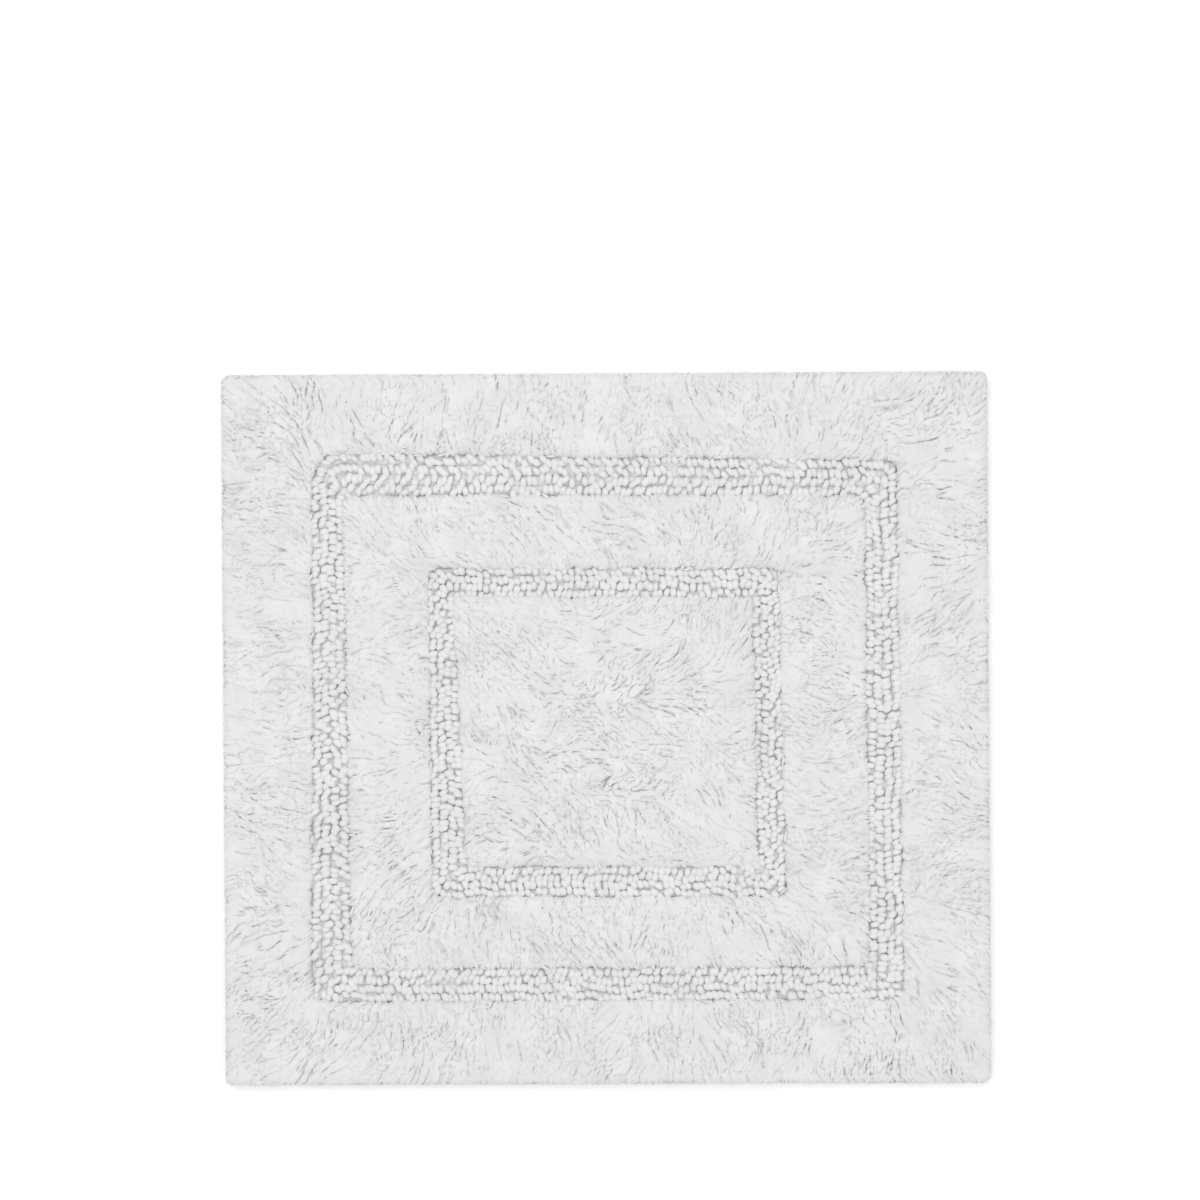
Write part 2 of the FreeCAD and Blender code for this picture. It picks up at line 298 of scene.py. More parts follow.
cut_cotton = make_material("cut_cotton", grey(0.655), grey(0.715), 0.5 * MM, 0.1 * MM)
loop_cotton = make_material("loop_cotton", grey(0.68), grey(0.74), 0.6 * MM, 0.15 * MM)
thread_cotton = make_material("thread", (0.88, 0.88, 0.86), (0.93, 0.93, 0.91), 0.2 * MM, 0.05 * MM)
canvas = make_material("canvas", (0.80, 0.78, 0.73), (0.86, 0.84, 0.79), 0.4 * MM, 0.1 * MM)
latex = make_material("latex", (0.78, 0.75, 0.66), (0.84, 0.81, 0.72), 1.0 * MM, 0.1 * MM)
ribbon = make_material("ribbon", (0.9, 0.9, 0.89), (0.94, 0.94, 0.93), 0.3 * MM, 0.05 * MM)


# Heights and outlines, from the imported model.

cloth_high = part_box("base_cloth")[1]
label_low, label_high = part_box("care_label")
CLOTH_TOP = cloth_high.z
CUT_HEIGHT = cad_high.z - CLOTH_TOP
LOOP_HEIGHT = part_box("outer_loop_row_1")[1].z - CLOTH_TOP
ROWS = 4  # of loops in each band

mat_edge = outline("outer_cut_pile")
outer_rows = [outline(f"outer_loop_row_{i + 1}") for i in range(ROWS)]
middle_edge = outline("middle_cut_pile")
inner_rows = [outline(f"inner_loop_row_{i + 1}") for i in range(ROWS)]
centre_edge = outline("centre_cut_pile")
cloth_edge = outline("base_cloth")
latex_edge = outline("latex_coat")


# Loop pile.

LOOP_PITCH = 4.7 * MM  # from loop to loop along a row
LOOP_ROOM = 6.4 * MM  # the row width that one loop fills: in a wider row the loops stand in zigzag
ZIGZAG = 0.7  # how far out and in they then stand, as a share of the width to spare
LOOP_TALL = LOOP_HEIGHT + 1.2 * MM  # the loops are fluffed up over their packed height
LOOP_TILT = 0.42  # the outer rows' loops slant one way and the inner rows' the other
LOOP_HALF_WIDTH = 2.65 * MM  # of the yarn on top of a loop
LOOP_HALF_THICKNESS = 2.6 * MM
LOOP_SPAN = (1.4, 1.75)  # from foot to foot, as shares of the room: neighbouring rows overlap
LEAST_HALF_SPAN = 1.0 * MM
WANDER, WANDER_SIZE = 1.8 * MM, 14 * MM  # how far a whole band strays out and in
STRAY_OUT, STRAY_ALONG = 0.7 * MM, 0.45 * MM  # how far single loops do
FLOP_ACROSS, FLOP_ALONG = 0.9 * MM, 0.5 * MM  # how far their tops do
TILT_SWING, TILT_SIZE, TILT_STRAY = 0.4, 26 * MM, 0.25

ARCH_STAGE = np.linspace(0, math.pi, 12)  # from one foot of a loop over its top to the other
ARCH_RISE = np.sin(ARCH_STAGE).clip(0) ** 0.42
ARCH_LEAN = np.cos(ARCH_STAGE)
ARCH_SWING = -np.sign(ARCH_LEAN) * np.abs(ARCH_LEAN) ** 0.7 * (0.35 + 0.65 * ARCH_RISE)
ARCH_STEP = (ARCH_STAGE / math.pi - 0.5) * 1.6 * MM  # the way it moves on towards the next loop
FOOT_DEPTH = 0.6 * MM  # a loop's feet lie this far inside the cloth
BACK_STITCH = np.array([0.22, 0.5, 0.78])  # where the yarn lies under the cloth between two loops
BACK_DEPTH = np.array([1.3, 1.45, 1.3]) * MM

HALF_SLIM = 0.45 * MM  # of the yarn where it passes through the cloth
YARN_CORNERS = 12
PLIES = 4
PLY_DEPTH = 0.05
PLY_TURN = 0.42  # from ring to ring of the yarn

LEGS_STEP = 2 * MM
LEGS_CORNERS = 12
LEGS_HALF_HEIGHT, LEGS_BUMPS = 0.34, 0.04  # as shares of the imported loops' height


def by_turns(count):
    """One and minus one by turns."""
    return np.where(np.arange(count) % 2 == 0, 1.0, -1.0)


def loop_places(line, outer, count, band_seed, rng):
    """Where a row's loops stand, the ways along and out of it there, and each one's room across it."""
    spots, along, out = even(line, LOOP_PITCH, count)
    width = 2 * depth(outer, spots)
    spare = (width - LOOP_ROOM).clip(0)
    wander = noise(spots, WANDER_SIZE, band_seed) * WANDER
    spots = spots + out * (wander + ZIGZAG * by_turns(count) * spare)[:, None]
    spots = spots + out * rng.normal(0, STRAY_OUT, (count, 1))
    spots = spots + along * rng.normal(0, STRAY_ALONG, (count, 1))
    return spots, along, out, width - 0.8 * spare


def loop_arches(spots, across, forward, half_span, tops, flop):
    """The yarn's middle line over each loop, from foot to foot."""
    plan = (
        spots[:, None]
        + across[:, None] * (half_span[:, None] * ARCH_SWING[None])[..., None]
        + forward[:, None] * ARCH_STEP[None, :, None]
        + flop[:, None] * (ARCH_RISE ** 2)[None, :, None]
    )
    foot = CLOTH_TOP - FOOT_DEPTH
    heights = foot + (tops - foot)[:, None] * ARCH_RISE[None]
    return np.concatenate([plan, heights[..., None]], axis=-1)


def back_stitches(arches):
    """The yarn's middle line under the cloth, from each loop to the next."""
    leave = arches[:, -1:, :2]
    arrive = np.roll(arches, -1, axis=0)[:, :1, :2]
    plan = leave + (arrive - leave) * BACK_STITCH[None, :, None]
    heights = np.broadcast_to(CLOTH_TOP - BACK_DEPTH, plan.shape[:2])
    return np.concatenate([plan, heights[..., None]], axis=-1)


def yarn_mesh(arches, backs, along, forward, half_width, half_thickness):
    """The yarn as a tube, plump and plied over the loops and slim under the cloth."""
    arch_hints = np.repeat(flat_3d(forward)[:, None], len(ARCH_STAGE), axis=1)
    back_hints = Z[None, None] + flat_3d(along)[:, None] * np.array([1.0, 0.0, -1.0])[None, :, None]
    centres = np.concatenate([arches, backs], axis=1)
    hints = np.concatenate([arch_hints, back_hints], axis=1)
    hints = hints * by_turns(len(arches))[:, None, None]
    swell = np.concatenate([ARCH_RISE ** 0.8, np.zeros(len(BACK_STITCH))])
    half_widths = HALF_SLIM + (half_width[:, None] - HALF_SLIM) * swell[None]
    half_heights = HALF_SLIM + (half_thickness[:, None] - HALF_SLIM) * swell[None]
    centres, hints = centres.reshape(-1, 3), hints.reshape(-1, 3)
    phase = np.arange(len(centres))[:, None] * PLY_TURN

    def plied(angle):
        return squared(angle, 2.2) * (1 + PLY_DEPTH * np.cos(PLIES * angle[None] + phase))

    return tube(centres, hints, half_widths.ravel(), half_heights.ravel(), YARN_CORNERS, plied)


def legs_mesh(line, outer, seed):
    """A low ridge: the loops' legs, which are pressed together beside the cloth."""
    spots, _, out = even(line, LEGS_STEP)
    bumps = noise(spots, 2.5 * MM, seed)
    ridge = LOOP_HEIGHT * (LEGS_HALF_HEIGHT + LEGS_BUMPS * bumps)
    centres = np.column_stack([spots, CLOTH_TOP + 0.05 * MM + ridge])
    half_width = depth(outer, spots) + 0.5 * MM
    return tube(centres, flat_3d(out), half_width, ridge, LEGS_CORNERS, lambda angle: squared(angle, 4))


def make_loop_row(name, outer, inner, tilt, seed, band_seed):
    """One yarn all the way round: it arches above the cloth, dips under it and comes up again."""
    rng = np.random.default_rng(seed)
    directions = round_directions(outer, 1.0 * MM)
    middle = (reach(outer, directions) + reach(inner, directions)) / 2
    line = directions * middle[:, None]
    line = np.roll(line, rng.integers(len(line)), axis=0)
    count = 2 * round(line_length(line) / LOOP_PITCH / 2)  # even, as the yarn turns over each time
    spots, along, out, room = loop_places(line, outer, count, band_seed, rng)

    turn = tilt + noise(spots, TILT_SIZE, band_seed + 1) * TILT_SWING + rng.normal(0, TILT_STRAY, count)
    across = turned(out, turn)
    forward = turned(along, turn)
    half_width = LOOP_HALF_WIDTH * rng.uniform(0.86, 1.12, count)
    half_thickness = LOOP_HALF_THICKNESS * rng.uniform(0.9, 1.1, count)
    half_span = room / 2 * rng.uniform(*LOOP_SPAN, count) - half_thickness
    half_span = np.maximum(half_span, LEAST_HALF_SPAN)
    tall = LOOP_TALL * (0.95 + 0.05 * noise(spots, 30 * MM, seed + 2) + rng.normal(0, 0.045, count))
    tops = CLOTH_TOP + np.minimum(tall, LOOP_TALL * 1.06) - half_thickness
    flop = across * rng.normal(0, FLOP_ACROSS, (count, 1))
    flop = flop + forward * rng.normal(0, FLOP_ALONG, (count, 1))

    arches = loop_arches(spots, across, forward, half_span, tops, flop)
    backs = back_stitches(arches)
    yarn = yarn_mesh(arches, backs, along, forward, half_width, half_thickness)
    make_piece(name, *yarn, loop_cotton, "loop_cotton", name)
    make_piece(f"{name}_legs", *legs_mesh(line, outer, seed + 3), loop_cotton, "loop_cotton", name)


def make_band(name, rows, inside, seed):
    """Concentric rows of loops, the outer half slanting one way and the inner half the other."""
    edges = rows + [inside]
    for i in range(ROWS):
        tilt = LOOP_TILT if i < ROWS / 2 else -LOOP_TILT
        make_loop_row(f"{name}_{i + 1}", edges[i], edges[i + 1], tilt, seed + 10 * i, seed)


make_band("outer_loop_row", outer_rows, middle_edge, 100)
make_band("inner_loop_row", inner_rows, centre_edge, 200)


# Cut pile.

CELL = 0.75 * MM  # of the relief's mesh
LIE_STEP = 1.6 * MM  # noise is drawn out along the lean in steps of this length
LOCK_SIZE, LOCK_HEIGHT = 5.0 * MM, 1.6 * MM
STREAK_SIZE, STREAK_HEIGHT, STREAK_STEPS = 2.0 * MM, 0.3 * MM, 3
CURL_SIZE, CURL_DEPTH, CURL_STEPS = 3.6 * MM, 1.9 * MM, 1
CURL_WIDTH = 0.18  # of the creases, as a share of the noise's range
PARTING_DEPTH = 3.5 * MM
PARTING_WIDTH = 0.14
WIDE_SWELL, WIDE_SIZE = 1.5 * MM, 30 * MM
SMALL_SWELL, SMALL_SIZE = 0.7 * MM, 11 * MM
SHOULDER_DROP, SHOULDER_WIDTH = 2.2 * MM, 5 * MM
TIPS = 0.9 * MM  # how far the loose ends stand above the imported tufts

WALL_ROWS = 15
WALL_FOOT = 0.05 * MM  # above the cloth
OUTER_WALL, INNER_WALL = 20, 30  # the numbers of the walls' noise
EDGE_INSET = 0.9 * MM
EDGE_BULGE, EDGE_UNDERCUT = 7 * MM, 0.85
BAND_BULGE, BAND_UNDERCUT = 5 * MM, 0.4
OVERHANG = 1.5 * MM  # over the loops beside it

SIDE_PITCH = 0.7 * MM  # from one loose end to the next along the mat's edge
TUFT_PITCH = 3.0 * MM
STRAND_LENGTH = (4.5 * MM, 9 * MM)
TOP_WIDTH = (1.2 * MM, 2.4 * MM)
SIDE_WIDTH = (1.3 * MM, 2.2 * MM)
STRAND_STOPS = np.array([0.0, 0.45, 0.78])  # where a strand has a ring of points
STRAND_TAPER = np.array([0.8, 1.0, 0.75])
STRAND_SECTION = np.array([[1.0, -0.15], [0.0, 0.2], [-1.0, -0.15]])
MOST_STRANDS = 12000  # in one piece


def scatter(pitch, outer, inner, margin, rng):
    """Uneven points about a pitch apart, this far inside an outer outline and outside an inner one."""
    half = np.abs(outer).max(axis=0) + pitch
    x = np.arange(-half[0], half[0], pitch)
    y = np.arange(-half[1], half[1], pitch * 0.87)
    grid = np.stack(np.meshgrid(x, y, indexing="ij"), axis=-1)
    grid[:, ::2, 0] += pitch / 2
    points = grid.reshape(-1, 2)
    points = points + rng.uniform(-0.42, 0.42, points.shape) * pitch
    kept = depth(outer, points) > margin
    if inner is not None:
        kept &= depth(inner, points) < 0
    return points[kept]


def outwards(points):
    """The way out of the mat, square to the nearest side and turning smoothly at the corners."""
    half = np.abs(mat_edge).max(axis=0)
    scaled = points / half
    steep = np.sign(scaled) * np.abs(scaled) ** 5 + scaled * 1e-3
    return steep / np.linalg.norm(steep, axis=1, keepdims=True)


def sideways(points):
    """The way to the mat's right."""
    return np.broadcast_to([1.0, 0.0], points.shape)


def bulged_in(climb, bulge, undercut):
    """How far a wall lies inside its widest place, from its foot (0) to its rounded top (1)."""
    rise = climb * (1 + undercut) - undercut
    return bulge * (1 - np.sqrt(1 - rise ** 2))


class Field:
    """A field of cut pile: which way it leans at each point, and how high it stands."""

    def __init__(self, name, outer, inner, main_lean, seed, swirl, lock_steps, parts):
        self.name, self.outer, self.inner, self.main_lean = name, outer, inner, main_lean
        self.seed, self.swirl, self.lock_steps, self.parts = seed, swirl, lock_steps, parts
        self.at_edge = outer is mat_edge
        self.rng = np.random.default_rng(seed)

    def grow(self):
        """Make all its pieces."""
        self.make_body()
        self.make_top_ends()
        if self.at_edge:
            self.make_side_ends()

    def grain(self, points, size, number):
        """The field's own noise. Each feature has its own number."""
        return noise(points, size, self.seed + number)

    def lean(self, points):
        """The way the pile lies at each point: the main way, turned by wide, middling and fine swirls."""
        turn = 0.75 * self.grain(points, 95 * MM, 1) + self.swirl * self.grain(points, 38 * MM, 2)
        return turned(self.main_lean(points), turn + 0.5 * self.grain(points, 11 * MM, 8))

    def drawn_out(self, points, size, number, steps):
        """Noise drawn out along the lean, and how much it differs between the two ends of the walk."""
        total = self.grain(points, size, number)
        ends = []
        for step in (LIE_STEP, -LIE_STEP):
            spots = points
            for _ in range(steps):
                spots = spots + self.lean(spots) * step
                value = self.grain(spots, size, number)
                total = total + value
            ends.append(value)
        return total / math.sqrt(2 * steps + 1), ends[0] - ends[1]

    def surface(self, points):
        """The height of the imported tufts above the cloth, and how near each point is to a parting."""
        locks, slope = self.drawn_out(points, LOCK_SIZE, 3, self.lock_steps)
        streaks, _ = self.drawn_out(points, STREAK_SIZE, 4, STREAK_STEPS)
        curls, _ = self.drawn_out(points, CURL_SIZE, 9, CURL_STEPS)

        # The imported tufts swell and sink, and each lock is rounded across.
        height = CUT_HEIGHT - TIPS - WIDE_SWELL + WIDE_SWELL * self.grain(points, WIDE_SIZE, 6)
        height = height + SMALL_SWELL * self.grain(points, SMALL_SIZE, 7)
        rounded = np.sqrt(locks ** 2 + (0.35 * slope) ** 2 + 0.002)
        height = height + LOCK_HEIGHT * np.sqrt(np.minimum(rounded, 0.6)) + STREAK_HEIGHT * streaks

        # Creases run between the yarns' curled ends, and branch all over, more in some patches.
        patches = (0.7 + 0.8 * self.grain(points, 24 * MM, 10)).clip(0.2, 1.2)
        height = height - CURL_DEPTH * patches * np.exp(-np.abs(curls) / CURL_WIDTH)

        # Partings run along the lean between the locks.
        deep = (0.45 + 0.7 * self.grain(points, 14 * MM, 5)).clip(0.25, 1.0)
        parting = np.exp(-np.abs(locks) / PARTING_WIDTH) * near_line(slope, 0.95) * deep
        return height - PARTING_DEPTH * parting - self.shoulder(points), parting

    def shoulder(self, points):
        """How far the pile's top is rounded down beside its edges."""
        drop = SHOULDER_DROP * near_line(depth(self.outer, points), SHOULDER_WIDTH)
        if self.inner is not None:
            drop = drop + SHOULDER_DROP * near_line(depth(self.inner, points), SHOULDER_WIDTH)
        return drop

    def wall_relief(self, directions, climb, wall):
        """How far each point of a wall stands out: locks, and finer streaks up them."""
        run = np.broadcast_to(np.arange(len(directions)) * CELL, (len(climb), len(directions)))
        up = np.broadcast_to(climb[:, None] * CUT_HEIGHT, run.shape)
        locks = self.grain(np.stack([run, 0.35 * up], axis=-1).reshape(-1, 2), 4.5 * MM, wall)
        streaks = self.grain(np.stack([run, 0.2 * up], axis=-1).reshape(-1, 2), 2 * MM, wall + 1)
        relief = 2.4 * MM * (np.sqrt(np.abs(locks)) - 0.55) + 0.5 * MM * streaks
        return relief.reshape(run.shape)

    def band_wall(self, directions, climb, wall):
        """How far a wall beside the loops lies inside its outline. It leans over them here and there."""
        run = np.arange(len(directions)) * CELL
        ragged = 1.4 * MM * self.grain(np.stack([run, 0 * run], axis=-1), 11 * MM, wall + 2)
        smooth = bulged_in(climb, BAND_BULGE, BAND_UNDERCUT)[:, None] - OVERHANG
        return smooth - self.wall_relief(directions, climb, wall) - ragged

    def outer_reach(self, directions, climb):
        """How far out the outer wall stands in each direction, from its foot to its top."""
        if self.at_edge:
            wall = EDGE_INSET + bulged_in(climb, EDGE_BULGE, EDGE_UNDERCUT)[:, None]
            wall = wall - 0.6 * self.wall_relief(directions, climb, OUTER_WALL)
        else:
            wall = self.band_wall(directions, climb, OUTER_WALL)
        return np.stack([reach(self.outer, directions, -offset) for offset in wall])

    def inner_reach(self, directions, climb):
        """The same for the inner wall, from its top to its foot. The centre field has only a middle."""
        if self.inner is None:
            return np.full((1, len(directions)), 0.05 * MM)
        wall = self.band_wall(directions, climb, INNER_WALL)
        return np.stack([reach(self.inner, directions, offset) for offset in wall[::-1]])

    def make_body(self):
        """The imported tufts, with walls that bulge a little over what lies beside them."""
        directions = round_directions(self.outer, CELL)
        climb = (1 - np.cos(np.linspace(0, TURN / 2, WALL_ROWS))) / 2
        outside = self.outer_reach(directions, climb)
        inside = self.inner_reach(directions, climb)
        rows = round((outside[-1] - inside[0]).min() / CELL)
        share = np.linspace(0, 1, rows)[1:-1, None]
        between = outside[-1] * (1 - share) + inside[0] * share
        plan = np.concatenate([outside, between, inside])[..., None] * directions[None]

        first, last = WALL_ROWS - 1, WALL_ROWS + rows - 2
        top = self.surface(plan[first:last + 1].reshape(-1, 2))[0].reshape(-1, len(directions))
        outer_wall = WALL_FOOT + (top[0] - WALL_FOOT) * climb[:-1, None]
        inner_wall = WALL_FOOT + (top[-1] - WALL_FOOT) * climb[-2::-1, None]
        height = np.concatenate([outer_wall, top] if self.inner is None else [outer_wall, top, inner_wall])
        section = np.concatenate([plan, CLOTH_TOP + height[..., None]], axis=-1)
        if self.inner is None:
            middle = np.broadcast_to([[[0, 0, CLOTH_TOP + WALL_FOOT]]], (1, len(directions), 3))
            section = np.concatenate([section, middle])
        self.make_parts(section)

    def make_parts(self, section):
        """The body cut into parts round the mat, each closed at both ends."""
        rows, columns = section.shape[:2]
        cuts = np.linspace(0, columns, self.parts + 1).astype(int)
        for i, (start, end) in enumerate(zip(cuts[:-1], cuts[1:])):
            part = np.take(section, np.arange(start, end + 1) % columns, axis=1)
            points = np.concatenate([part.reshape(-1, 3), part[:, 0], part[:, -1]])
            ring = part.shape[1] * rows + np.arange(rows)
            faces = [grid_faces(rows, part.shape[1], closed_rows=True), np.stack([ring[::-1], rows + ring])]
            make_piece(f"{self.name}_body_{i + 1}", points, faces, cut_cotton, "cut_cotton", self.name)

    def make_top_ends(self):
        """The yarns' loose ends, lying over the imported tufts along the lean."""
        rng = self.rng
        roots = scatter(TUFT_PITCH, self.outer, self.inner, 2.0 * MM, rng)
        roots = roots[np.argsort(np.arctan2(roots[:, 1], roots[:, 0]))]
        roots = roots + rng.normal(0, 0.9 * MM, roots.shape)
        stray = np.full(len(roots), 0.25)
        if self.inner is not None:
            stray = stray + 1.5 * near_line(depth(self.inner, roots), 4 * MM)
        way = turned(self.lean(roots), rng.normal(0, 1, len(roots)) * stray)
        tips = roots + way * rng.uniform(*STRAND_LENGTH, (len(roots), 1))
        bends = roots + (tips - roots) * 0.35

        # They don't stray past the mat's edge, or far over the loops beside them, or bridge a parting.
        kept = depth(self.outer, tips) > (0.3 * MM if self.at_edge else -2.0 * MM)
        if self.inner is not None:
            kept &= depth(self.inner, tips) < 1.5 * MM
        root_height, root_parting = self.surface(roots)
        bend_height, bend_parting = self.surface(bends)
        tip_height, tip_parting = self.surface(tips)
        kept &= np.max([root_parting, bend_parting, tip_parting], axis=0) < 0.2

        count = kept.sum()
        lift = rng.uniform(0.1, 0.9, count) * TIPS
        root_3d = np.column_stack([roots[kept], CLOTH_TOP + root_height[kept] - 1.0 * MM])
        bend_3d = np.column_stack([bends[kept], CLOTH_TOP + bend_height[kept] + 0.5 * MM + 0.5 * lift])
        tip_3d = np.column_stack([tips[kept], CLOTH_TOP + tip_height[kept] - 0.35 * MM + 0.3 * lift])
        self.make_strands("ends", root_3d, bend_3d, tip_3d, rng.uniform(*TOP_WIDTH, count))

    def make_side_ends(self):
        """The ends of the tufts along the mat's edge, standing up its wall."""
        rng = self.rng
        spots, along, _ = even(self.outer, SIDE_PITCH)
        count = len(spots)
        directions = spots / np.linalg.norm(spots, axis=1, keepdims=True)
        start = rng.uniform(0.02, 0.47, count)
        stop = np.minimum(start + rng.uniform(0.25, 0.48, count), 1)
        drift = along * rng.normal(0, 1.6 * MM, (count, 1))
        line = []
        for climb, proud, moved in ((start, -0.8, 0), ((start + stop) / 2, 0.5, 0.4), (stop, -0.2, 1)):
            inset = EDGE_INSET + bulged_in(climb, EDGE_BULGE, EDGE_UNDERCUT) - proud * MM
            plan = directions * reach(self.outer, directions, -inset)[:, None] + drift * moved
            line.append(np.column_stack([plan, CLOTH_TOP + climb * (CUT_HEIGHT - TIPS)]))
        self.make_strands("side_out", *line, rng.uniform(*SIDE_WIDTH, count))

    def make_strands(self, kind, roots, bends, tips, width):
        """Strands along these curved lines, in pieces of a handy size."""
        pieces = math.ceil(len(roots) / MOST_STRANDS)
        cuts = np.linspace(0, len(roots), pieces + 1).astype(int)
        for i, (start, end) in enumerate(zip(cuts[:-1], cuts[1:])):
            part = slice(start, end)
            mesh = strand_mesh(roots[part], bends[part], tips[part], width[part])
            name = f"{self.name}_{kind}_{i + 1}"
            make_piece(name, *mesh, cut_cotton, "cut_cotton", self.name, smooth=False)


def strand_mesh(roots, bends, tips, width):
    """Flat tapered three-sided strands along curved lines, closed at the root and pointed at the tip."""
    stops = STRAND_STOPS[None, :, None]
    line = (1 - stops) ** 2 * roots[:, None] + 2 * stops * (1 - stops) * bends[:, None]
    line = line + stops ** 2 * tips[:, None]
    along = (1 - stops) * (bends - roots)[:, None] + stops * (tips - bends)[:, None]
    along /= np.linalg.norm(along, axis=2, keepdims=True)
    across = np.cross(along, Z)
    across /= np.linalg.norm(across, axis=2, keepdims=True)
    up = np.cross(across, along)
    right, above = STRAND_SECTION[:, :1], STRAND_SECTION[:, 1:]
    half = STRAND_TAPER[None] * width[:, None] / 2
    rings = right * across[:, :, None] + above * up[:, :, None]
    rings = line[:, :, None] + rings * half[..., None, None]
    count, stops_count, corners = rings.shape[:3]
    points = np.concatenate([rings.reshape(count, -1, 3), tips[:, None]], axis=1)

    tip = stops_count * corners
    last = tip - corners
    walls = grid_faces(stops_count, corners, closed_columns=True)
    ends = np.array([[last + i, last + (i + 1) % corners, tip] for i in range(corners)] + [[2, 1, 0]])
    first = (np.arange(count) * (tip + 1))[:, None, None]
    faces = [(walls[None] + first).reshape(-1, 4), (ends[None] + first).reshape(-1, 3)]
    return points.reshape(-1, 3), faces


Field("outer_cut_pile", mat_edge, outer_rows[0], outwards, 300, swirl=0.45, lock_steps=7, parts=4).grow()
Field("middle_cut_pile", middle_edge, inner_rows[0], outwards, 400, swirl=0.7, lock_steps=4, parts=3).grow()
Field("centre_cut_pile", centre_edge, None, sideways, 500, swirl=1.3, lock_steps=3, parts=3).grow()


# Cloth.

CLOTH_THICKNESS = 0.9 * MM
FOLD_GAP = CLOTH_TOP - 2 * CLOTH_THICKNESS
HEM_WIDTH = cloth_high.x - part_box("latex_coat")[1].x - 1 * MM
THREAD_MIDDLE = 0.4 * MM  # from a thread's outer edge
SEAM_INSET = cloth_high.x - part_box("hem_needle_thread")[1].x + THREAD_MIDDLE
SEAM_WIDTH = 4.5 * MM  # of the puckers beside the stitches
PUCKER_PITCH, PUCKER_HEIGHT = 9 * MM, 0.16 * MM
FURROW_WIDTH, FURROW_DEPTH = 0.8 * MM, 0.5 * MM
MITRE_WIDTH, MITRE_HEIGHT, MITRE_LENGTH = 1.5 * MM, 0.3 * MM, 9 * MM
UNEVEN_HEIGHT = 0.1 * MM
RAVEL = 0.5 * MM
CLOTH_STEP = 2.2 * MM  # between the columns of its mesh

# Where the hem's section has points, as shares of its width. They are closest beside the seam.
HEM_STOPS = np.array([2, 3.5, 5, 7, 9, 11, 13, 14.5, 15.7, 16.4, 17, 17.6, 18.3, 19.5, 20.8, 21.6]) / 22
# Where the rest of the cloth has points, from its edge inwards.
CLOTH_STOPS = np.array([6, 10, 14, SEAM_INSET / MM, 19, HEM_WIDTH / MM, 30, 60, 110, 170, 230]) * MM


def cloth_section():
    """The cloth's section: over the top, round the fold, along the hem and back.

    It is given as how far each point lies from the edge, and how high.
    """
    bend = np.linspace(TURN / 4, -TURN / 4, 9)
    fold = CLOTH_TOP / 2
    hem = HEM_STOPS * HEM_WIDTH
    rows = [(offset, CLOTH_TOP) for offset in CLOTH_STOPS[::-1]]
    rows += [(fold - fold * math.cos(angle), fold + fold * math.sin(angle)) for angle in bend]
    rows += [(offset, 0.0) for offset in hem]
    rows += [(HEM_WIDTH, CLOTH_THICKNESS * share) for share in (0.15, 0.5, 0.85)]
    rows += [(offset, CLOTH_THICKNESS) for offset in hem[::-1]]
    rows += [(fold * 0.9, CLOTH_THICKNESS + FOLD_GAP / 2)]
    rows += [(offset, CLOTH_TOP - CLOTH_THICKNESS) for offset in CLOTH_STOPS]
    offsets, heights = np.array(rows).T
    return offsets, heights, (heights <= CLOTH_THICKNESS) & (offsets > fold)


def hem_lift(offsets, directions, strip):
    """How far the hem is lifted off the floor, over its section and all the way round."""
    # It puckers beside its seam, and a furrow runs under the stitches.
    seam = near_line(offsets - SEAM_INSET, SEAM_WIDTH)[:, None]
    furrow = near_line(offsets - SEAM_INSET, FURROW_WIDTH)[:, None]
    wave = np.sin(TURN * strip[:, 0] / PUCKER_PITCH + 2 * noise(strip, 30 * MM, 600))
    pucker = PUCKER_HEIGHT * seam * (0.5 + 0.5 * wave)[None]
    uneven = UNEVEN_HEIGHT * (1 + noise(strip, 23 * MM, 601))[None] * (1 - furrow)

    # The corners are mitred.
    half = np.abs(cloth_edge).max(axis=0)
    inset = half - np.abs(directions * reach(cloth_edge, directions)[:, None])
    at_corner = inset.max(axis=1) < MITRE_LENGTH
    mitre = near_line(inset.max(axis=1) - inset.min(axis=1), MITRE_WIDTH) * at_corner
    return pucker + uneven + MITRE_HEIGHT * mitre[None] + FURROW_DEPTH * furrow


def make_base_cloth():
    """A closed sheet of canvas with its border turned under."""
    directions = round_directions(cloth_edge, CLOTH_STEP)
    run = np.arange(len(directions)) * CLOTH_STEP
    strip = np.stack([run, 0 * run], axis=1)
    offsets, heights, is_hem = cloth_section()
    lift = hem_lift(offsets, directions, strip)
    lift = lift * np.where(is_hem, 1 - 0.5 * heights / CLOTH_THICKNESS, 0)[:, None]
    raw_edge = near_line(offsets - HEM_WIDTH, 0.3 * MM) * is_hem
    ravel = RAVEL * noise(strip, 2.5 * MM, 602)[None] * raw_edge[:, None]

    radius = np.stack([reach(cloth_edge, directions, -offset) for offset in offsets]) + ravel
    plan = radius[..., None] * directions[None]
    points = np.concatenate([plan, (heights[:, None] + lift)[..., None]], axis=-1).reshape(-1, 3)
    middle = np.array([[0, 0, CLOTH_TOP], [0, 0, CLOTH_TOP - CLOTH_THICKNESS]])
    points = np.concatenate([points, middle])
    faces = capped_faces(len(offsets), len(directions))
    cloth = make_piece("base_cloth", points, faces, canvas, "canvas", "base_cloth")


make_base_cloth()


# Latex coat.

RIB_PITCH, RIB_HEIGHT = 6.5 * MM, 0.42 * MM
BED_DEPTH, BED_SLOPE = 0.75 * MM, 3 * MM
COAT_STEP, COAT_ROW = 4.0 * MM, 1.6 * MM  # between the columns and the rows of its mesh


